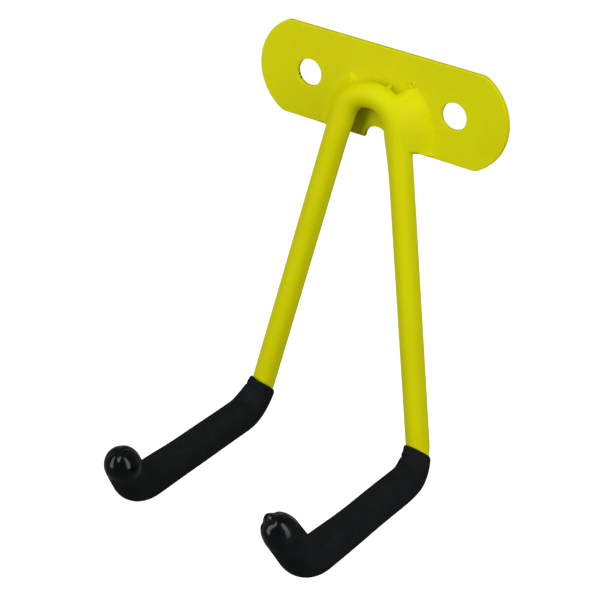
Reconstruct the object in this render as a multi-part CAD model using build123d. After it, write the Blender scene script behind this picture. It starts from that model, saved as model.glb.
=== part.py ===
from build123d import *
import os
from math import atan, cos, radians, sin, tan

# Bicycle wall rack: a bent steel rod welded to a screw plate, with a foam-rubber sleeve on each arm.
# Millimetres. The wall is the plane y = 0 and the rack stands out of it towards -Y. X runs along the
# plate and +Z is up. The origin is the middle of the plate's back face, midway between the screw holes.

# ---- driving dimensions -------------------------------------------------------------------------

ROD_D = 10.0

PLATE_LENGTH = 116.0
PLATE_HEIGHT = 39.7
PLATE_T = 2.0
PLATE_END_R = 22.1          # the end arcs are a little wider than half the height, so they meet at corners
PLATE_CORNER_R = 5.0        # those corners are rounded off
PLATE_EDGE_R = 0.4          # rolled front edge left by the stamping die
HOLE_D = 11.4
HOLE_PITCH = 68.0

LEG_SPREAD = 11.2           # degrees between each leg and the middle plane
LEG_TILT = 2.5              # degrees that the legs lean out from the wall
CROWN_R = 13.4              # centreline radius of the narrow U at the top
CROWN_TOP_Z = 1.3           # height of the rod's centreline at the crown
ROOT_GAP = 0.05             # between the rod and the plate at the crown, closed by the welds
LEG_LENGTH = 215.3          # from the legs' crossing point to the corner of the lower bend

ARM_LENGTH = 85.5           # corner to corner
ARM_DROP = 0.7              # degrees below level
ARM_BEND_R = 13.0
TIP_LENGTH = 27.4           # corner of the upturned tip to the rod's cut end
TIP_RISE = 55.8             # degrees above level
TIP_TOE_IN = 16.3           # degrees that the tips lean towards the middle plane
TIP_BEND_R = 17.8
ROD_END_CHAMFER = 1.0

SLEEVE_D = 15.0
SLEEVE_CLEARANCE = 0.05     # radial, over the rod
SLEEVE_PAST_CORNER = 9.4    # the mouth's height up the leg from the lower corner
SLEEVE_MOUTH_TILT = 41.0    # degrees that the mouth slants, higher on the inner side of the bend
SLEEVE_DOME_BACK = 3.0      # the dome's centre is this far short of the rod's cut end

WELD_REACH = 10.2           # from the rod's centreline out to the fillet's toe, along the plate
WELD_ROOT = 2.0             # how far the fillet runs in under the rod from its top edge
WELD_CROWN_ANGLE = 46.0     # degrees from the top of the crown where the full fillet starts
WELD_END_Z = -12.5          # where the full fillet stops beside its leg

# ---- worked out from them -----------------------------------------------------------------------

ROD_R = ROD_D / 2
SLEEVE_R = SLEEVE_D / 2
PLATE_FRONT_Y = -PLATE_T
CROWN_Y = PLATE_FRONT_Y - ROD_R - ROOT_GAP

# The fillet's face leaves the rod as a tangent and runs straight down to its toe on the plate.
WELD_LEAVES_ROD = 2 * atan(WELD_REACH / ROD_R)
WELD_OFFSET = ROD_R * sin(WELD_LEAVES_ROD)
WELD_RISE = ROD_R - ROD_R * cos(WELD_LEAVES_ROD)
WELD_FOOT = WELD_REACH - WELD_OFFSET
SPREAD = radians(LEG_SPREAD)
TILT = radians(LEG_TILT)

# The legs' centrelines, carried on upwards, cross this far above the crown.
CROSSING_ABOVE_CROWN = CROWN_R / sin(SPREAD) - CROWN_R
CROSSING = Vector(
    0,
    CROWN_Y + CROSSING_ABOVE_CROWN * sin(TILT),
    CROWN_TOP_Z + CROSSING_ABOVE_CROWN * cos(TILT),
)


def mirrored(point):
    """The same point on the other side of the middle plane."""
    return Vector(-point.X, point.Y, point.Z)


def level_direction(toe_out_deg, rise_deg):
    """A unit direction out from the wall, turned sideways and raised by the given angles."""
    toe_out = radians(toe_out_deg)
    rise = radians(rise_deg)
    return Vector(sin(toe_out) * cos(rise), -cos(toe_out) * cos(rise), sin(rise))


LEG_DIRECTION = Vector(sin(SPREAD), -sin(TILT) * cos(SPREAD), -cos(TILT) * cos(SPREAD))
ARM_DIRECTION = level_direction(0, -ARM_DROP)
TIP_DIRECTION = level_direction(-TIP_TOE_IN, TIP_RISE)

LEG_CORNER = CROSSING + LEG_DIRECTION * LEG_LENGTH
TIP_CORNER = LEG_CORNER + ARM_DIRECTION * ARM_LENGTH
ROD_END = TIP_CORNER + TIP_DIRECTION * TIP_LENGTH


# ---- plate --------------------------------------------------------------------------------------

def plate_outline():
    """The plate's face: a bar with arc ends, drawn in the plate's own X and Z."""
    half_height = PLATE_HEIGHT / 2
    arc_centre_x = PLATE_LENGTH / 2 - PLATE_END_R
    with BuildSketch(Plane.XZ) as outline:
        Rectangle(PLATE_LENGTH, PLATE_HEIGHT)
        with BuildSketch(Plane.XZ, mode=Mode.INTERSECT):
            Rectangle(2 * arc_centre_x, 2 * PLATE_END_R)
            with Locations((-arc_centre_x, 0), (arc_centre_x, 0)):
                Circle(PLATE_END_R)
        fillet(outline.vertices(), PLATE_CORNER_R)
        with Locations((-HOLE_PITCH / 2, 0), (HOLE_PITCH / 2, 0), (0, -half_height)):
            Circle(HOLE_D / 2, mode=Mode.SUBTRACT)
    return outline.sketch


def make_wall_plate():
    """Flat stamping with two screw holes and a half-round notch in its lower edge."""
    plate = extrude(plate_outline(), amount=PLATE_T)
    front_edges = plate.faces().sort_by(Axis.Y)[0].edges()
    return fillet(front_edges, PLATE_EDGE_R)


# ---- rod ----------------------------------------------------------------------------------------

def tube_along(path, radius):
    """A round solid swept along a smooth path."""
    start = Plane(path @ 0, z_dir=path % 0)
    return sweep(start * Circle(radius), path=path)


def make_hook_rod():
    """One continuous rod: left tip, arm and leg, the crown, then the right leg, arm and tip."""
    points = [
        mirrored(ROD_END),
        mirrored(TIP_CORNER),
        mirrored(LEG_CORNER),
        CROSSING,
        LEG_CORNER,
        TIP_CORNER,
        ROD_END,
    ]
    radii = [TIP_BEND_R, ARM_BEND_R, CROWN_R, ARM_BEND_R, TIP_BEND_R]
    path = FilletPolyline(*points, radius=radii)
    rod = tube_along(path, ROD_R)
    cut_ends = [
        edge for edge in rod.edges().filter_by(GeomType.CIRCLE)
        if min((edge.arc_center - end).length for end in (ROD_END, mirrored(ROD_END))) < 0.1
    ]
    return chamfer(cut_ends, ROD_END_CHAMFER)


# ---- sleeves ------------------------------------------------------------------------------------

def right_arm_path(end_back):
    """The rod's centreline from well up the right leg to end_back short of the rod's cut end."""
    leg_start = LEG_CORNER - LEG_DIRECTION * (4 * SLEEVE_PAST_CORNER)
    tip_end = ROD_END - TIP_DIRECTION * end_back
    return FilletPolyline(leg_start, LEG_CORNER, TIP_CORNER, tip_end, radius=[ARM_BEND_R, TIP_BEND_R])


def make_sleeve_right():
    """A one-piece blind sleeve over the right arm, with a domed closed end at the tip."""
    outer_path = right_arm_path(SLEEVE_DOME_BACK)
    dome = Pos(*(outer_path @ 1)) * Sphere(SLEEVE_R)
    outer = tube_along(outer_path, SLEEVE_R) + dome
    sleeve = outer - tube_along(right_arm_path(-SLEEVE_CLEARANCE), ROD_R + SLEEVE_CLEARANCE)

    mouth_centre = LEG_CORNER - LEG_DIRECTION * SLEEVE_PAST_CORNER
    mouth_normal = Vector(0, -sin(radians(SLEEVE_MOUTH_TILT)), -cos(radians(SLEEVE_MOUTH_TILT)))
    waste_length = 4 * SLEEVE_PAST_CORNER
    waste_above_mouth = Plane(mouth_centre, z_dir=mouth_normal) * Cylinder(
        2 * SLEEVE_D, waste_length, align=(Align.CENTER, Align.CENTER, Align.MAX)
    )
    return sleeve - waste_above_mouth


# ---- welds --------------------------------------------------------------------------------------

def make_weld_bead_right(rod, plate):
    """A wide ramp-shaped fillet outside the right half of the crown and down beside the leg."""
    crown_centre_z = CROWN_TOP_Z - CROWN_R * cos(TILT)
    edge_circle_r = CROWN_R + WELD_OFFSET
    start = radians(WELD_CROWN_ANGLE)
    turn_end = radians(90 - LEG_SPREAD)
    middle = (start + turn_end) / 2

    def on_edge_circle(angle):
        return Vector(
            edge_circle_r * sin(angle), PLATE_FRONT_Y, crown_centre_z + edge_circle_r * cos(angle)
        )

    turn = ThreePointArc(on_edge_circle(start), on_edge_circle(middle), on_edge_circle(turn_end))
    run_drop = (turn @ 1).Z - WELD_END_Z
    run_end = turn @ 1 + Vector(run_drop * tan(SPREAD), 0, -run_drop)
    path = Wire([turn, Line(turn @ 1, run_end)])

    outward = Vector(sin(start), 0, cos(start))
    section = Plane(path @ 0, x_dir=outward, z_dir=path % 0) * make_face(Polyline(
        (-WELD_ROOT, 0), (WELD_FOOT, 0), (0, WELD_RISE), (-WELD_ROOT, WELD_RISE), close=True
    ))
    bead = sweep(section, path=path)
    for end in (path @ 0, run_end):
        base = Plane(end, z_dir=(0, -1, 0))
        bead += base * Cone(WELD_FOOT, 0, WELD_RISE, align=(Align.CENTER, Align.CENTER, Align.MIN))
    on_plate = Box(PLATE_LENGTH, PLATE_HEIGHT, PLATE_HEIGHT)
    bead = (bead & on_plate) - rod - plate
    return bead.solids().sort_by(SortBy.VOLUME)[-1]


def main():
    plate = make_wall_plate()
    rod = make_hook_rod()
    sleeve_right = make_sleeve_right()
    weld_bead_right = make_weld_bead_right(rod, plate)
    parts = {
        "wall_plate": plate,
        "hook_rod": rod,
        "weld_bead_right": weld_bead_right,
        "weld_bead_left": mirror(weld_bead_right, about=Plane.YZ),
        "sleeve_right": sleeve_right,
        "sleeve_left": mirror(sleeve_right, about=Plane.YZ),
    }
    os.makedirs("parts", exist_ok=True)
    for node, solid in parts.items():
        export_step(solid, f"parts/{node}.step")
        size = solid.bounding_box().size
        print(f"{node}: volume {solid.volume:.0f}, size {size.X:.1f} x {size.Y:.1f} x {size.Z:.1f}")


main()
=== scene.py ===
"""Bicycle wall rack: powder-coated rod and plate, laid welds, and foam-rubber sleeves with gathered tips."""
import bisect
import math
import random

import bmesh
import bpy
from mathutils import Matrix, Vector


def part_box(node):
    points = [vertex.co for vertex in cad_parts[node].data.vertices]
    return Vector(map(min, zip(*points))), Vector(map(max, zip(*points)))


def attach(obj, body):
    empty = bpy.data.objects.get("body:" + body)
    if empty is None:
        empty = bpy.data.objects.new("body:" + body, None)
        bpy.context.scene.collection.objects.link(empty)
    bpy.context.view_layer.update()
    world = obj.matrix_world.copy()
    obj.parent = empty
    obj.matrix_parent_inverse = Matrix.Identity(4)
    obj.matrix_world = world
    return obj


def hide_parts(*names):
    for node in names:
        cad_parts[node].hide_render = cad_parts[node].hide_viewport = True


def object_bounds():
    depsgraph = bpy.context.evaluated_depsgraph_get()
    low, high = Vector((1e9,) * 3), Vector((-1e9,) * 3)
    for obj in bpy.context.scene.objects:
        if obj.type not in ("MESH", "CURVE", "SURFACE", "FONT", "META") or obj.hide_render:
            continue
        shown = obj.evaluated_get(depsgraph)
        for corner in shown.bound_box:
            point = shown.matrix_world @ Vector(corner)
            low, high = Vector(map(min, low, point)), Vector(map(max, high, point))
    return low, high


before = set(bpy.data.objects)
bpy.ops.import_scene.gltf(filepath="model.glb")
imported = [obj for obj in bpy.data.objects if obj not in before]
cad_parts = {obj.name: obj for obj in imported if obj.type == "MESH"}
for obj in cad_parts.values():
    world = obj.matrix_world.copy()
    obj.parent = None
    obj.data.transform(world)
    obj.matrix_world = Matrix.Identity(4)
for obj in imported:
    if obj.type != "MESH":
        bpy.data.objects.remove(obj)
cad_lo, cad_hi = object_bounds()

MM = 0.001
BODY = "root"

# ---- the rod's route, as the CAD lays it out (millimetres, degrees) ------------------------------

ROD_R = 5.0
LEG_SPREAD = math.radians(11.2)
LEG_TILT = math.radians(2.5)
CROWN_R = 13.4
CROWN_TOP_Z = 1.3
ROOT_GAP = 0.05
LEG_LENGTH = 215.3
ARM_LENGTH = 85.5
ARM_DROP = math.radians(0.7)
TIP_RISE = math.radians(55.8)
TIP_TOE_IN = math.radians(16.3)
TIP_BEND_R = 17.8
ARM_BEND_R = 13.0
TIP_LENGTH = 27.4
DOME_BACK = 3.0             # the sleeve's domed end has its centre this far short of the rod's cut end
SLEEVE_R = 7.5
SLEEVE_CLEARANCE = 0.05
HOLE_R = 5.7
HOLE_X = 34.0

plate_lo, plate_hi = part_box("wall_plate")
PLATE_FRONT_Y = plate_lo.y / MM
PLATE_BOTTOM_Z = plate_lo.z / MM

crown_y = PLATE_FRONT_Y - ROD_R - ROOT_GAP
above_crown = CROWN_R / math.sin(LEG_SPREAD) - CROWN_R
CROSSING = Vector((
    0,
    crown_y + above_crown * math.sin(LEG_TILT),
    CROWN_TOP_Z + above_crown * math.cos(LEG_TILT),
))
LEG_DIRECTION = Vector((
    math.sin(LEG_SPREAD),
    -math.sin(LEG_TILT) * math.cos(LEG_SPREAD),
    -math.cos(LEG_TILT) * math.cos(LEG_SPREAD),
))
ARM_DIRECTION = Vector((0, -math.cos(ARM_DROP), -math.sin(ARM_DROP)))
TIP_DIRECTION = Vector((
    -math.sin(TIP_TOE_IN) * math.cos(TIP_RISE),
    -math.cos(TIP_TOE_IN) * math.cos(TIP_RISE),
    math.sin(TIP_RISE),
))
LEG_CORNER = CROSSING + LEG_DIRECTION * LEG_LENGTH
TIP_CORNER = LEG_CORNER + ARM_DIRECTION * ARM_LENGTH
ROD_END = TIP_CORNER + TIP_DIRECTION * TIP_LENGTH
TIP_TO_DOME = TIP_LENGTH - DOME_BACK
DOME_CENTRE = TIP_CORNER + TIP_DIRECTION * TIP_TO_DOME


def on_side(side, point):
    """The same point on the right half of the rack (side 1) or on the left half (side -1)."""
    return Vector((side * point.x, point.y, point.z))


# ---- mesh helpers --------------------------------------------------------------------------------

def mesh_object(name, points_mm, faces, material):
    """A smooth-shaded mesh from points in millimetres, riding on the rack."""
    mesh = bpy.data.meshes.new(name)
    mesh.from_pydata([tuple(c * MM for c in p) for p in points_mm], [], faces)
    mesh.validate()
    for polygon in mesh.polygons:
        polygon.use_smooth = True
    bm = bmesh.new()
    bm.from_mesh(mesh)
    bmesh.ops.recalc_face_normals(bm, faces=bm.faces)
    bm.to_mesh(mesh)
    bm.free()
    mesh.materials.append(material)
    piece = bpy.data.objects.new(name, mesh)
    bpy.context.scene.collection.objects.link(piece)
    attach(piece, BODY)
    return piece


def tube_faces(ring_count, around):
    """Quads between rings of `around` points, listed ring after ring."""
    faces = []
    for i in range(ring_count - 1):
        for j in range(around):
            k = (j + 1) % around
            faces.append((i * around + j, i * around + k, (i + 1) * around + k, (i + 1) * around + j))
    return faces


def fan_faces(ring_index, around, point_index):
    """Triangles from one ring of a tube to a single point."""
    start = ring_index * around
    return [(point_index, start + j, start + (j + 1) % around) for j in range(around)]


def rounded_route(corners, radii, step):
    """Points and tangents along straight runs joined by tangent arcs, about `step` apart."""
    points = []
    tangents = []

    def add_run(a, b):
        direction = (b - a).normalized()
        count = max(2, round((b - a).length / step))
        for i in range(count):
            points.append(a.lerp(b, i / count))
            tangents.append(direction)

    start = corners[0]
    for before, corner, after, radius in zip(corners, corners[1:], corners[2:], radii):
        d_in = (corner - before).normalized()
        d_out = (after - corner).normalized()
        turn = d_in.angle(d_out)
        cut = radius * math.tan(turn / 2)
        arc_start = corner - d_in * cut
        add_run(start, arc_start)
        axis = d_in.cross(d_out).normalized()
        centre = arc_start + axis.cross(d_in) * radius
        count = max(4, round(radius * turn / step))
        for i in range(count):
            rotation = Matrix.Rotation(turn * i / count, 3, axis)
            points.append(centre + rotation @ (arc_start - centre))
            tangents.append(rotation @ d_in)
        start = corner + d_out * cut
    add_run(start, corners[-1])
    points.append(corners[-1].copy())
    tangents.append((corners[-1] - corners[-2]).normalized())
    return points, tangents


def distances_along(points):
    """How far each point of a route is from its start."""
    along = [0.0]
    for a, b in zip(points, points[1:]):
        along.append(along[-1] + (b - a).length)
    return along


def carried_normals(tangents, first_normal):
    """Normals along a route, carried from one point to the next without twist."""
    normals = [(first_normal - tangents[0] * first_normal.dot(tangents[0])).normalized()]
    for before, after in zip(tangents, tangents[1:]):
        turn = before.rotation_difference(after)
        n = turn @ normals[-1]
        normals.append((n - after * n.dot(after)).normalized())
    return normals


def bump_at(x, centre, width):
    """A smooth bump of height 1 at centre."""
    return math.exp(-((x - centre) / width) ** 2)


def ramp(x, low, high):
    """A smooth step from 0 at low to 1 at high."""
    t = min(1.0, max(0.0, (x - low) / (high - low)))
    return t * t * (3 - 2 * t)


def angle_gap(a, b):
    """The signed difference of two angles, within half a turn."""
    return (a - b + math.pi) % (2 * math.pi) - math.pi


# ---- materials -----------------------------------------------------------------------------------

class Nodes:
    """A short way to write a material's node tree."""

    def __init__(self, name):
        self.material = bpy.data.materials.new(name)
        self.material.use_nodes = True
        self.tree = self.material.node_tree
        self.tree.nodes.clear()
        self.output = self.add("ShaderNodeOutputMaterial")
        self.shader = self.add("ShaderNodeBsdfPrincipled")
        self.tree.links.new(self.shader.outputs[0], self.output.inputs[0])
        self.place = self.add("ShaderNodeTexCoord").outputs["Object"]

    def add(self, kind, **settings):
        node = self.tree.nodes.new(kind)
        for key, value in settings.items():
            setattr(node, key, value)
        return node

    def put(self, socket, value):
        """Links an output to the socket, or sets a number or colour on it."""
        if isinstance(value, bpy.types.NodeSocket):
            self.tree.links.new(value, socket)
        else:
            socket.default_value = value

    def noise(self, scale, detail=3.0, roughness=0.5):
        """Noise over the object's own space, with `scale` features to the metre."""
        node = self.add("ShaderNodeTexNoise")
        self.put(node.inputs["Vector"], self.place)
        self.put(node.inputs["Scale"], scale)
        self.put(node.inputs["Detail"], detail)
        self.put(node.inputs["Roughness"], roughness)
        return node.outputs["Fac"]

    def cells(self, scale):
        """Distance to the nearest cell centre, with `scale` cells to the metre."""
        node = self.add("ShaderNodeTexVoronoi")
        self.put(node.inputs["Vector"], self.place)
        self.put(node.inputs["Scale"], scale)
        return node.outputs["Distance"]

    def math(self, operation, a, b=0.0, clamp=False):
        node = self.add("ShaderNodeMath", operation=operation, use_clamp=clamp)
        self.put(node.inputs[0], a)
        self.put(node.inputs[1], b)
        return node.outputs[0]

    def remap(self, value, low, high, to_low, to_high):
        node = self.add("ShaderNodeMapRange", interpolation_type="SMOOTHSTEP")
        for socket, number in zip(node.inputs[:5], (value, low, high, to_low, to_high)):
            self.put(socket, number)
        return node.outputs[0]

    def mix(self, factor, a, b):
        node = self.add("ShaderNodeMix", data_type="RGBA")
        self.put(node.inputs[0], factor)
        self.put(node.inputs[6], a)
        self.put(node.inputs[7], b)
        return node.outputs[2]

    def bump(self, height, distance_mm, strength=1.0, under=None):
        node = self.add("ShaderNodeBump")
        self.put(node.inputs["Height"], height)
        self.put(node.inputs["Distance"], distance_mm * MM)
        self.put(node.inputs["Strength"], strength)
        if under is not None:
            self.put(node.inputs["Normal"], under)
        return node.outputs[0]

    def distance_to(self, point_mm):
        """Distance in metres from a place given in millimetres."""
        node = self.add("ShaderNodeVectorMath", operation="DISTANCE")
        self.put(node.inputs[0], self.place)
        node.inputs[1].default_value = [c * MM for c in point_mm]
        return node.outputs["Value"]


YELLOW = (0.62, 0.6, 0.001, 1)
YELLOW_THIN = (0.6, 0.555, 0.004, 1)
YELLOW_RICH = (0.635, 0.635, 0.001, 1)
BARE_STEEL = (0.035, 0.034, 0.03, 1)


def powder_coat(name, bare_spots=()):
    """Satin yellow powder coat: faint orange peel, slow shade drift, and thinner spots.

    bare_spots are (place in millimetres, radius in millimetres) where the coat missed the steel.
    """
    n = Nodes(name)
    drift = n.noise(38.0, detail=2.0)
    mottle = n.noise(420.0, detail=4.0, roughness=0.6)
    shade = n.mix(n.remap(drift, 0.3, 0.7, 0.0, 1.0), YELLOW, YELLOW_RICH)
    shade = n.mix(n.remap(mottle, 0.52, 0.8, 0.0, 0.5), shade, YELLOW_THIN)
    rough = n.remap(mottle, 0.2, 0.8, 0.40, 0.54)
    for place, radius in bare_spots:
        edge = n.math("ADD", n.distance_to(place), n.math("MULTIPLY", mottle, 0.8 * MM))
        bare = n.remap(edge, (radius - 0.2) * MM, (radius + 0.3) * MM, 1.0, 0.0)
        shade = n.mix(bare, shade, BARE_STEEL)
    n.put(n.shader.inputs["Base Color"], shade)
    n.put(n.shader.inputs["Roughness"], rough)
    n.put(n.shader.inputs["Specular IOR Level"], 0.05)
    peel = n.bump(n.noise(800.0, detail=2.0), 0.06, 0.5)
    dust = n.bump(n.noise(3800.0, detail=2.0), 0.012, 0.5, under=peel)
    n.put(n.shader.inputs["Normal"], dust)
    return n.material


FOAM = (0.005, 0.0066, 0.0072, 1)
FOAM_PALE = (0.0083, 0.0102, 0.0108, 1)
FOAM_DUSTY = (0.013, 0.0148, 0.0154, 1)
FOAM_MELTED = (0.0008, 0.0016, 0.002, 1)


def foam_rubber(name, poles):
    """Matte black foam skin that turns glossy round each pole, where it was heated and gathered."""
    n = Nodes(name)
    gloss = None
    ragged = n.math("MULTIPLY", n.noise(220.0, detail=3.0), 8.0 * MM)
    for pole in poles:
        edge = n.math("ADD", n.distance_to(pole), ragged)
        near = n.remap(edge, 11.5 * MM, 21.0 * MM, 1.0, 0.0)
        gloss = near if gloss is None else n.math("MAXIMUM", gloss, near)
    cloud = n.noise(150.0, detail=4.0, roughness=0.6)
    skin = n.mix(n.remap(cloud, 0.3, 0.75, 0.0, 1.0), FOAM, FOAM_PALE)
    scuff = n.remap(n.noise(600.0, detail=5.0, roughness=0.7), 0.6, 0.85, 0.0, 0.5)
    skin = n.mix(scuff, skin, FOAM_DUSTY)
    n.put(n.shader.inputs["Base Color"], n.mix(gloss, skin, FOAM_MELTED))
    matte = n.remap(cloud, 0.3, 0.8, 0.72, 0.86)
    shine = n.math("MULTIPLY", gloss, 0.6)
    n.put(n.shader.inputs["Roughness"], n.math("SUBTRACT", matte, shine))
    n.put(n.shader.inputs["Specular IOR Level"], 0.08)
    n.put(n.shader.inputs["Coat Weight"], n.remap(gloss, 0.3, 1.0, 0.0, 1.0))
    n.put(n.shader.inputs["Coat Roughness"], 0.15)
    n.put(n.shader.inputs["Coat IOR"], 1.25)
    flat_here = n.remap(gloss, 0.2, 0.9, 1.0, 0.08)
    pores = n.math("MULTIPLY", n.cells(1500.0), flat_here)
    grain = n.math("MULTIPLY", n.noise(2600.0, detail=3.0), flat_here)
    coarse = n.bump(pores, 0.14, 0.5)
    n.put(n.shader.inputs["Normal"], n.bump(grain, 0.1, 0.5, under=coarse))
    return n.material


def pale_floor():
    n = Nodes("pale_floor")
    tint = n.mix(n.noise(2.0), (0.93, 0.93, 0.93, 1), (0.95, 0.95, 0.95, 1))
    n.put(n.shader.inputs["Base Color"], tint)
    n.put(n.shader.inputs["Roughness"], 0.9)
    n.put(n.shader.inputs["Emission Color"], (1, 1, 1, 1))
    n.put(n.shader.inputs["Emission Strength"], 0.9)
    return n.material


# ---- sleeves -------------------------------------------------------------------------------------

AROUND = 120
RING_STEP = 0.6
BORE_RINGS = 3
DOME_RINGS = 46
LEAD_IN = 30.0              # how far up the leg from its corner the route starts, above the mouth
MOUTH_TILT = math.radians(41)   # the mouth rides higher on the inner side of the bend
LIP_ANGLE = math.radians(-58)   # where the mouth's edge was gripped, on the outer side of the arm
MOUTH_RINGS = 30
MOUTH_ZONE = 9.0            # how far past the mouth the rings are square to the rod again
GATHERED_R = SLEEVE_R + 1.5     # points nearer than this to the dome's centre are in the gathered end


class SleeveShape:
    """What differs between the two hand-fitted sleeves, in millimetres."""

    def __init__(
        self, side, seed, past_corner, bend_r, mouth_r, lip, crease_at, bunching, dome_push,
        dome_shift, pole, gathers, nub,
    ):
        self.side = side                # 1 right, -1 left
        self.seed = seed
        self.past_corner = past_corner  # the mouth's height up the leg from the lower corner
        self.bend_r = bend_r            # of the sleeve's middle line at the lower bend
        self.mouth_r = mouth_r
        self.lip = lip                  # how much higher the mouth's edge is pulled up at one place
        self.crease_at = crease_at      # from the mouth to the crease across the inner side
        self.bunching = bunching        # extra thickness where the foam is pushed up inside the tip's bend
        self.dome_push = dome_push      # how much further the gathered end reaches than a plain dome
        self.dome_shift = Vector(dome_shift)    # the gathered end sits off the rod's centreline by this
        self.pole = Vector(pole).normalized()   # where the gathers meet, seen from the dome's centre
        self.gathers = [Vector(g) for g in gathers]     # directions that the creases run towards
        self.nub = nub                  # height of the pinched knot on the pole, or a dimple if negative


def slow_wobble(seed):
    """Small unevenness of hand-pulled foam, repeatable from its seed."""
    rng = random.Random(seed)
    waves = []
    for _ in range(7):
        waves.append((
            rng.uniform(0.05, 0.22), rng.randint(1, 3), rng.uniform(0, 6.28), rng.uniform(0.012, 0.03)
        ))

    def at(along, angle):
        return sum(a * math.sin(f * along + m * angle + p) for f, m, p, a in waves)

    return at


def sleeve_radius(shape, along, angle, tip_bend, wobble):
    """Radius of the foam at a place past its mouth and round it (0 is the inner side of the bends)."""
    growth = 17.0 - 5.0 * math.cos(angle)
    radius = shape.mouth_r + (SLEEVE_R - shape.mouth_r) * ramp(along, -4.0, growth)
    radius -= 0.4 * bump_at(along, 0.0, 0.5)
    inner = max(0.0, math.cos(angle - shape.side * 0.5))
    crease_line = shape.crease_at + 0.6 * math.sin(2 * angle)
    radius -= 0.5 * inner * bump_at(along, crease_line, 0.8)
    radius += 0.14 * inner * bump_at(along, crease_line - 2.0, 1.1)
    radius += shape.bunching * max(0.0, math.cos(angle)) * bump_at(along, tip_bend - 7.0, 20.0)
    return radius + wobble(along, angle)


def dome_swell(shape, direction):
    """How far the gathered end stands out of a plain dome in a direction from its centre."""
    pole = shape.pole
    off_pole = math.acos(max(-1.0, min(1.0, direction.dot(pole))))
    around_pole = (direction - pole * direction.dot(pole)).normalized()
    crease = 0.0
    for gather in shape.gathers:
        toward = (gather - pole * gather.dot(pole)).normalized()
        gap = math.acos(max(-1.0, min(1.0, around_pole.dot(toward))))
        crease = max(crease, bump_at(gap, 0.0, 0.3))
    spread = ramp(off_pole, 0.06, 0.3) * (1 - ramp(off_pole, 0.45, 1.0))
    push = shape.dome_push * (1 - ramp(off_pole, 0.3, 1.35))
    knot = shape.nub * bump_at(off_pole, 0.0, 0.22)
    moat = -0.35 * bump_at(off_pole, 0.4, 0.12) if shape.nub > 0 else 0.0
    return push + knot + moat - 0.38 * crease * spread


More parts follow.
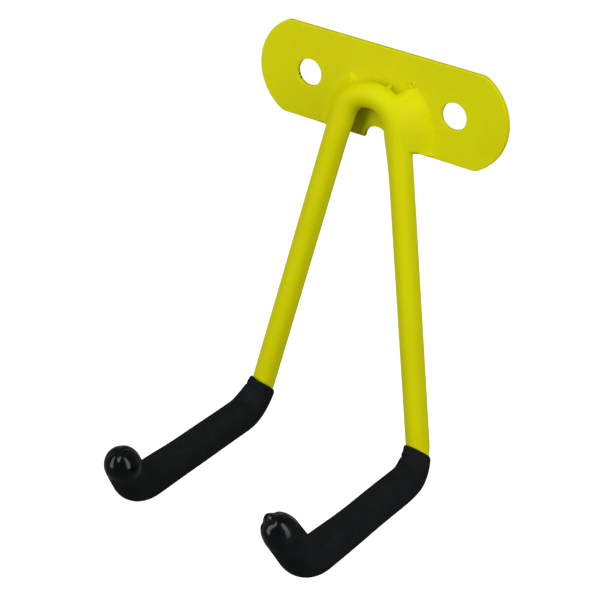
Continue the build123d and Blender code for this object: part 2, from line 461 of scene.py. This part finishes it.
def make_sleeve(shape):
    """One blind foam sleeve: mouth, arm, bends, tip and gathered end."""
    points, tangents = rounded_route(
        [LEG_CORNER - LEG_DIRECTION * LEAD_IN, LEG_CORNER, TIP_CORNER, DOME_CENTRE],
        [shape.bend_r, TIP_BEND_R], RING_STEP,
    )
    inner_first = ARM_DIRECTION - LEG_DIRECTION * ARM_DIRECTION.dot(LEG_DIRECTION)
    normals = carried_normals(tangents, inner_first)
    along = distances_along(points)
    tip_bend = along[min(range(len(points)), key=lambda i: (points[i] - TIP_CORNER).length)]

    def spot(s, angle, radius):
        """The place at a distance along the route, an angle round it and a radius off it."""
        s = min(max(s, 0.0), along[-1])
        i = bisect.bisect_right(along, s) - 1
        i = min(i, len(along) - 2)
        t = (s - along[i]) / (along[i + 1] - along[i])
        tangent = tangents[i].lerp(tangents[i + 1], t).normalized()
        normal = normals[i].lerp(normals[i + 1], t)
        normal = (normal - tangent * normal.dot(tangent)).normalized()
        direction = normal * math.cos(angle) + tangent.cross(normal) * math.sin(angle)
        return points[i].lerp(points[i + 1], t) + direction * radius

    mouth_centre = LEG_CORNER - LEG_DIRECTION * shape.past_corner
    mouth_normal = Vector((0, math.tan(MOUTH_TILT), 1))

    def mouth_at(angle, radius):
        """Where along the route the slanted mouth cuts a line on the sleeve's surface."""
        lip_height = shape.lip * bump_at(angle_gap(angle, LIP_ANGLE), 0.0, 0.8)
        low = 0.0
        high = LEAD_IN + shape.bend_r
        for _ in range(30):
            middle = (low + high) / 2
            above = (spot(middle, angle, radius) - mouth_centre).dot(mouth_normal)
            if above > lip_height:
                low = middle
            else:
                high = middle
        return low

    wobble = slow_wobble(shape.seed)
    angles = [2 * math.pi * j / AROUND for j in range(AROUND)]
    bore_r = ROD_R + SLEEVE_CLEARANCE
    bore_mouth = [mouth_at(angle, bore_r) for angle in angles]
    rim_mouth = [mouth_at(angle, shape.mouth_r) for angle in angles]
    square_from = max(rim_mouth) + MOUTH_ZONE
    mean_mouth = sum(rim_mouth) / AROUND
    verts = []

    # The bore's wall, from inside the mouth out to the rim.
    for depth, radius in ((4.0, bore_r), (0.5, bore_r), (0.0, bore_r + 0.04)):
        verts += [spot(s + depth, angle, radius) for s, angle in zip(bore_mouth, angles)]
    rings = BORE_RINGS

    def foam_spot(s, start, angle):
        return spot(s, angle, sleeve_radius(shape, s - start, angle, tip_bend - start, wobble))

    for i in range(MOUTH_RINGS):
        t = (i / MOUTH_RINGS) ** 1.6
        for start, angle in zip(rim_mouth, angles):
            verts.append(foam_spot(start + (square_from - start) * t, start, angle))
        rings += 1
    count = round((along[-1] - square_from) / RING_STEP)
    for i in range(count + 1):
        s = square_from + (along[-1] - square_from) * i / count
        for start, angle in zip(rim_mouth, angles):
            verts.append(foam_spot(s, start, angle))
        rings += 1

    centre = points[-1]
    tangent = tangents[-1]
    normal = normals[-1]
    binormal = tangent.cross(normal)
    for i in range(1, DOME_RINGS):
        rise = (i / DOME_RINGS) * math.pi / 2
        for angle in angles:
            out = normal * math.cos(angle) + binormal * math.sin(angle)
            radius = sleeve_radius(shape, along[-1] - mean_mouth, angle, tip_bend - mean_mouth, wobble)
            radius += (SLEEVE_R - radius) * ramp(rise, 0.0, 1.0)
            verts.append(centre + (out * math.cos(rise) + tangent * math.sin(rise)) * radius)
        rings += 1
    verts.append(centre + tangent * SLEEVE_R)

    # The two sleeves differ at their gathered ends, so each is finished on its own side of the rack.
    verts = [on_side(shape.side, v) for v in verts]
    corner = on_side(shape.side, TIP_CORNER)
    axis = on_side(shape.side, TIP_DIRECTION)
    for i in range(BORE_RINGS * AROUND, len(verts)):
        in_tip = ramp((verts[i] - corner).dot(axis), 0.0, TIP_TO_DOME)
        verts[i] = verts[i] + shape.dome_shift * in_tip
    centre = corner + axis * TIP_TO_DOME + shape.dome_shift
    for i in range(BORE_RINGS * AROUND, len(verts)):
        reach = verts[i] - centre
        if reach.length < GATHERED_R:
            direction = reach.normalized()
            verts[i] = verts[i] + direction * dome_swell(shape, direction)
    faces = tube_faces(rings, AROUND) + fan_faces(rings - 1, AROUND, rings * AROUND)
    faces.append(tuple(reversed(range(AROUND))))
    return verts, faces


def make_sleeves():
    right = SleeveShape(
        side=1, seed=11, past_corner=8.5, bend_r=12.0, mouth_r=5.6, lip=0.0, crease_at=6.6,
        bunching=1.4, dome_push=1.1, dome_shift=(0.6, 0.0, 0.1), pole=(-0.66, -0.2, 0.72), nub=1.1,
        gathers=((0.1, -0.6, 0.7), (-0.6, -0.9, 0.1), (0.3, 0.5, 0.8), (-0.9, 0.5, 0.2)),
    )
    left = SleeveShape(
        side=-1, seed=23, past_corner=10.4, bend_r=13.6, mouth_r=6.0, lip=2.0, crease_at=5.6,
        bunching=1.3, dome_push=0.3, dome_shift=(-0.3, 0.0, -0.6), pole=(-0.06, -0.33, 0.94), nub=-0.45,
        gathers=((0.3, -0.8, 0.5), (-0.7, -0.6, 0.4), (0.9, 0.1, 0.4), (-0.5, 0.7, 0.5), (0.4, 0.8, 0.5)),
    )
    poles = []
    for shape in (right, left):
        poles.append(on_side(shape.side, DOME_CENTRE) + shape.pole * SLEEVE_R)
    foam = foam_rubber("black_foam_rubber", poles)
    for shape, name, node in (
        (right, "foam_sleeve_right", "sleeve_right"),
        (left, "foam_sleeve_left", "sleeve_left"),
    ):
        verts, faces = make_sleeve(shape)
        piece = mesh_object(name, verts, faces, foam)
        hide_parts(node)


# ---- rod -----------------------------------------------------------------------------------------

ROD_AROUND = 64
ROD_STEP = 1.0

# Where the rod's inner side is thicker than round bar: by how much, how far right of the crown's top
# along the rod, and over what length. The values are chosen to fit the outline of the gap.
THICKENINGS = ((0.6, 0.0, 8.0), (1.25, 18.0, 12.0), (0.6, -18.0, 8.0))


def make_rod(paint):
    """The bent rod from the left tip to the right one."""
    left_half = [on_side(-1, point) for point in (ROD_END, TIP_CORNER, LEG_CORNER)]
    corners = left_half + [CROSSING, LEG_CORNER, TIP_CORNER, ROD_END]
    radii = [TIP_BEND_R, ARM_BEND_R, CROWN_R, ARM_BEND_R, TIP_BEND_R]
    points, tangents = rounded_route(corners, radii, ROD_STEP)
    normals = carried_normals(tangents, Vector((1, 0, 0)))
    along = distances_along(points)
    verts = []
    for s, point, tangent, normal in zip(along, points, tangents, normals):
        binormal = tangent.cross(normal)
        inner_side = Vector((0, 1, 0)).cross(tangent).normalized()
        from_top = s - along[-1] / 2
        extra = sum(height * bump_at(from_top, centre, width) for height, centre, width in THICKENINGS)
        for j in range(ROD_AROUND):
            angle = 2 * math.pi * j / ROD_AROUND
            direction = normal * math.cos(angle) + binormal * math.sin(angle)
            radius = ROD_R + extra * max(0.0, direction.dot(inner_side)) ** 2
            verts.append(point + direction * radius)
    rings = len(points)
    faces = tube_faces(rings, ROD_AROUND)
    faces.append(tuple(range(ROD_AROUND)))
    faces.append(tuple(reversed(range((rings - 1) * ROD_AROUND, rings * ROD_AROUND))))
    piece = mesh_object("bent_rod", verts, faces, paint)
    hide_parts("hook_rod")


# ---- welds ---------------------------------------------------------------------------------------

WELD_STEP = 0.3
FACE_POINTS = 24            # across the ramp's face, from the rod to the toe
FOOT_SOFTENING = 3.0        # how far the paint carries the toe out into a soft edge
SOFTENED_REACH = 9.0        # a weld that reaches less than this has a smaller soft edge
TOE_SUNK = 0.03             # the soft edge ends this far under the plate's face
ROOT_SUNK = 0.5             # and the root lies this far under it
RUN_OFF = 2.6               # how far below the plate the sections go on, to close the drawn-up end
END_ABOVE_EDGE = 0.25       # the toe stops this far above the plate's lower edge
END_DRAWN_UP = 1.9          # how far the lower end draws back up from the plate to the top of the ramp
END_ROUNDING = 0.8          # how softly the face runs into that drawn-up end
END_TUCK = 0.45             # how far the end turns in towards the rod, for each millimetre it draws up
HIDDEN_REACH = 0.9          # where there is no weld, the section is this small and lies under the rod
CROWN_CENTRE_Z = CROWN_TOP_Z - CROWN_R * math.cos(LEG_TILT)

# Points that lead the ramp out of the rod: radians before it leaves the rod, and depth inside the rod.
LEAD_OUT = ((0.5, 0.5), (0.34, 0.16), (0.18, 0.04))


def weld_stations(end_z):
    """Places along the outside of the crown and the right leg, in the plate's front plane.

    Each is (degrees from the crown's top, rod centre x, rod centre z, outward x, outward z).
    """
    stations = []
    turn_end = math.pi / 2 - LEG_SPREAD
    count = round(CROWN_R * turn_end / WELD_STEP)
    for i in range(count):
        angle = turn_end * i / count
        out_x = math.sin(angle)
        out_z = math.cos(angle)
        x = CROWN_R * out_x
        z = CROWN_CENTRE_Z + CROWN_R * out_z
        stations.append((math.degrees(angle), x, z, out_x, out_z))
    out_x = math.cos(LEG_SPREAD)
    out_z = math.sin(LEG_SPREAD)
    x = CROWN_R * out_x
    z = CROWN_CENTRE_Z + CROWN_R * out_z
    while z - out_z > end_z:
        stations.append((math.degrees(turn_end), x, z, out_x, out_z))
        x += WELD_STEP * math.sin(LEG_SPREAD)
        z -= WELD_STEP * math.cos(LEG_SPREAD)
    return stations


def weld_section(rod_height, reach):
    """The weld's cross-section as (out, up) pairs: a straight ramp that leaves the rod as a tangent.

    rod_height is the rod's centreline above the plate, and reach is how far from it the ramp's foot is.
    """
    leaves_rod = math.atan2(reach, rod_height) + math.acos(ROD_R / math.hypot(reach, rod_height))
    top = Vector((ROD_R * math.sin(leaves_rod), rod_height - ROD_R * math.cos(leaves_rod)))
    foot = Vector((reach, 0))
    softness = FOOT_SOFTENING * min(1.0, reach / SOFTENED_REACH) ** 2
    toe = Vector((reach + softness, -TOE_SUNK))
    section = []
    for before, depth in LEAD_OUT:
        angle = leaves_rod + before
        radius = ROD_R - depth
        section.append((radius * math.sin(angle), rod_height - radius * math.cos(angle)))
    along_ramp = top.lerp(foot, 0.6)
    near_toe = foot.lerp(top, 0.03)
    for k in range(FACE_POINTS):
        t = k / (FACE_POINTS - 1)
        u = 1 - t
        p = top * u ** 3 + along_ramp * (3 * t * u * u) + near_toe * (3 * t * t * u) + toe * t ** 3
        section.append((p.x, p.y))
    section.append((max(0.7, toe.x - 0.8), -ROOT_SUNK))
    section.append((0.5, -ROOT_SUNK))
    section.append((0.6, rod_height - 3.5))
    return section


def make_weld(side, seed, reach_at, taper):
    """A wide smooth fillet under thick paint.

    reach_at(degrees) is how far its foot stands from the rod's centreline, and taper is the part of
    that which it loses towards its lower end.
    """
    rng = random.Random(seed)
    stations = weld_stations(PLATE_BOTTOM_Z - RUN_OFF)
    end_z = PLATE_BOTTOM_Z + END_ABOVE_EDGE
    phases = [rng.uniform(0, 6.28) for _ in range(2)]
    verts = []
    around = len(weld_section(ROD_R, ROD_R))
    for i, (degrees, x, z, out_x, out_z) in enumerate(stations):
        s = i * WELD_STEP
        rod_height = ROD_R + ROOT_GAP + (CROWN_TOP_Z - z) * math.tan(LEG_TILT)
        unevenness = 0.02 * math.sin(0.5 * s + phases[0]) + 0.004 * math.sin(1.1 * s + phases[1])
        narrowing = 1 - taper * ramp(-z, 4.0, 20.0)
        reach = max(HIDDEN_REACH, reach_at(degrees) * narrowing * (1 + unevenness))
        for out, up in weld_section(rod_height, reach):
            lowest = end_z + END_DRAWN_UP * ramp(up, 0.0, 5.0)
            over = z + out_z * out - lowest
            rounded = (over + math.hypot(over, 2 * END_ROUNDING)) / 2
            tucked = x + out_x * out - END_TUCK * (rounded - over)
            verts.append(Vector((side * tucked, PLATE_FRONT_Y - up, lowest + rounded)))
    rings = len(stations)
    for ring in (0, rings - 1):
        verts.append(sum(verts[ring * around:(ring + 1) * around], Vector()) / around)
    faces = tube_faces(rings, around)
    faces += fan_faces(0, around, rings * around) + fan_faces(rings - 1, around, rings * around + 1)
    return verts, faces


def right_reach(degrees):
    """A small tack beside the crown, then the full weld."""
    tack = 5.1 * bump_at(degrees, 15.5, 2.8)
    full = 9.6 * ramp(degrees, 20.5, 43.0) + 0.8 * ramp(degrees, 43.0, 60.0)
    return max(tack, full)


def left_reach(degrees):
    """A slimmer start further round the crown, then widening to the full weld."""
    return 7.7 * ramp(degrees, 24.0, 41.0) + 2.0 * ramp(degrees, 41.0, 80.0)


def make_welds(paint):
    right = make_weld(side=1, seed=5, reach_at=right_reach, taper=0.1)
    left = make_weld(side=-1, seed=9, reach_at=left_reach, taper=0.0)
    for (verts, faces), name, node in (
        (right, "laid_weld_right", "weld_bead_right"),
        (left, "laid_weld_left", "weld_bead_left"),
    ):
        piece = mesh_object(name, verts, faces, paint)
        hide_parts(node)


SPATTER_X = 14.2
SPATTER_Z = 8.0
SPATTER_R = 1.2             # centreline radius of the little ring
SPATTER_WIRE_R = 0.36
SPATTER_AROUND = 36
SPATTER_SECTION = 14


def make_spatter(paint):
    """A burst weld bubble under the paint: a low ring with an open middle."""
    verts = []
    for i in range(SPATTER_AROUND):
        a = 2 * math.pi * i / SPATTER_AROUND
        out = Vector((math.cos(a), 0, math.sin(a)))
        wire_r = SPATTER_WIRE_R * (1 + 0.25 * math.sin(2 * a + 0.7))
        centre = Vector((SPATTER_X, PLATE_FRONT_Y, SPATTER_Z)) + out * SPATTER_R
        for j in range(SPATTER_SECTION):
            b = 2 * math.pi * j / SPATTER_SECTION
            verts.append(centre + out * (wire_r * math.cos(b)) + Vector((0, -wire_r * math.sin(b), 0)))
    faces = tube_faces(SPATTER_AROUND, SPATTER_SECTION)
    last = (SPATTER_AROUND - 1) * SPATTER_SECTION
    for j in range(SPATTER_SECTION):
        k = (j + 1) % SPATTER_SECTION
        faces.append((last + j, last + k, k, j))
    piece = mesh_object("weld_spatter", verts, faces, paint)


# ---- carried-over CAD pieces ---------------------------------------------------------------------

def paint_node(node, paint):
    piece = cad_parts[node]
    if not piece.material_slots:
        piece.data.materials.append(paint)
    for slot in piece.material_slots:
        slot.material = paint


BARE_DEPTH = 1.3            # how far behind the plate's face the coat stops in the left hole
BARE_PLACES = ((188, 0.7), (204, 0.9), (220, 0.8))      # (degrees round the hole, radius)


def bare_spots_in_left_hole():
    """Places low on the left hole's wall where the coat didn't reach."""
    spots = []
    for degrees, radius in BARE_PLACES:
        a = math.radians(degrees)
        x = -HOLE_X + HOLE_R * math.cos(a)
        z = HOLE_R * math.sin(a)
        spots.append(((x, PLATE_FRONT_Y + BARE_DEPTH, z), radius))
    return spots


# ---- camera, light and floor ---------------------------------------------------------------------

# Metres and degrees. Azimuth 0 is straight in front of the rack, and positive is to its right.
CAMERA_AZIMUTH = 32.427
CAMERA_ELEVATION = 27.777
CAMERA_ROLL = 4.033
CAMERA_DISTANCE = 0.8633
CAMERA_TARGET = Vector((-0.03069, -0.002, -0.10339))
CAMERA_LENS_MM = 120.8

SUBJECT = Vector((0, -0.05, -0.08))     # where the softboxes point
SOFTBOXES = (
    # name, azimuth, elevation, distance, width, height, watts
    ("left_key", -30, 25, 1.0, 0.38, 1.5, 8.9),
    ("right_strip", 74, 33, 1.1, 0.42, 1.6, 10.6),
)
WORLD_STRENGTH = 0.19
FLOOR_DROP = 0.9            # below the rack's lowest point
FLOOR_HALF = 12.0


def direction_from(azimuth_deg, elevation_deg):
    """A unit direction out from the rack."""
    a = math.radians(azimuth_deg)
    e = math.radians(elevation_deg)
    return Vector((math.sin(a) * math.cos(e), -math.cos(a) * math.cos(e), math.sin(e)))


def camera_axes():
    """The camera's own right, up and backward directions."""
    azimuth = math.radians(CAMERA_AZIMUTH)
    roll = math.radians(CAMERA_ROLL)
    back = direction_from(CAMERA_AZIMUTH, CAMERA_ELEVATION)
    right = Vector((math.cos(azimuth), math.sin(azimuth), 0))
    up = back.cross(right)
    rolled_right = right * math.cos(roll) + up * math.sin(roll)
    rolled_up = up * math.cos(roll) - right * math.sin(roll)
    return rolled_right, rolled_up, back


def make_camera():
    data = bpy.data.cameras.new("photo_view")
    data.sensor_width = 36
    data.lens = CAMERA_LENS_MM
    data.clip_start = 0.01
    data.clip_end = 50
    camera = bpy.data.objects.new("photo_view", data)
    right, up, back = camera_axes()
    turn = Matrix((right, up, back)).transposed().to_4x4()
    camera.matrix_world = Matrix.Translation(CAMERA_TARGET + back * CAMERA_DISTANCE) @ turn
    bpy.context.scene.collection.objects.link(camera)
    bpy.context.scene.camera = camera


def make_softbox(name, azimuth_deg, elevation_deg, distance, width, height, watts):
    data = bpy.data.lights.new(name, "AREA")
    data.shape = "RECTANGLE"
    data.size = width
    data.size_y = height
    data.energy = watts
    light = bpy.data.objects.new(name, data)
    direction = direction_from(azimuth_deg, elevation_deg)
    light.location = SUBJECT + direction * distance
    light.rotation_mode = "QUATERNION"
    light.rotation_quaternion = (-direction).to_track_quat("-Z", "Y")
    bpy.context.scene.collection.objects.link(light)


def make_world():
    world = bpy.data.worlds.new("studio")
    world.use_nodes = True
    background = world.node_tree.nodes["Background"]
    background.inputs["Color"].default_value = (1, 1, 1, 1)
    background.inputs["Strength"].default_value = WORLD_STRENGTH
    bpy.context.scene.world = world
    bpy.context.scene.view_settings.view_transform = "Standard"


def make_floor():
    """A pale floor that only the camera sees, so it adds no light of its own to the rack."""
    floor_z = cad_lo.z - FLOOR_DROP
    mesh = bpy.data.meshes.new("floor")
    corners = [(x * FLOOR_HALF, y * FLOOR_HALF, floor_z) for x, y in ((-1, -1), (1, -1), (1, 1), (-1, 1))]
    mesh.from_pydata(corners, [], [(0, 1, 2, 3)])
    mesh.materials.append(pale_floor())
    floor = bpy.data.objects.new("floor", mesh)
    floor.visible_diffuse = False
    floor.visible_glossy = False
    bpy.context.scene.collection.objects.link(floor)


# ---- everything ----------------------------------------------------------------------------------

rod_paint = powder_coat("yellow_powder_coat")
plate_paint = powder_coat("yellow_powder_coat_plate", bare_spots_in_left_hole())
make_camera()
make_world()
for softbox in SOFTBOXES:
    make_softbox(*softbox)
make_floor()
make_rod(rod_paint)
paint_node("wall_plate", plate_paint)
make_welds(rod_paint)
make_spatter(rod_paint)
make_sleeves()
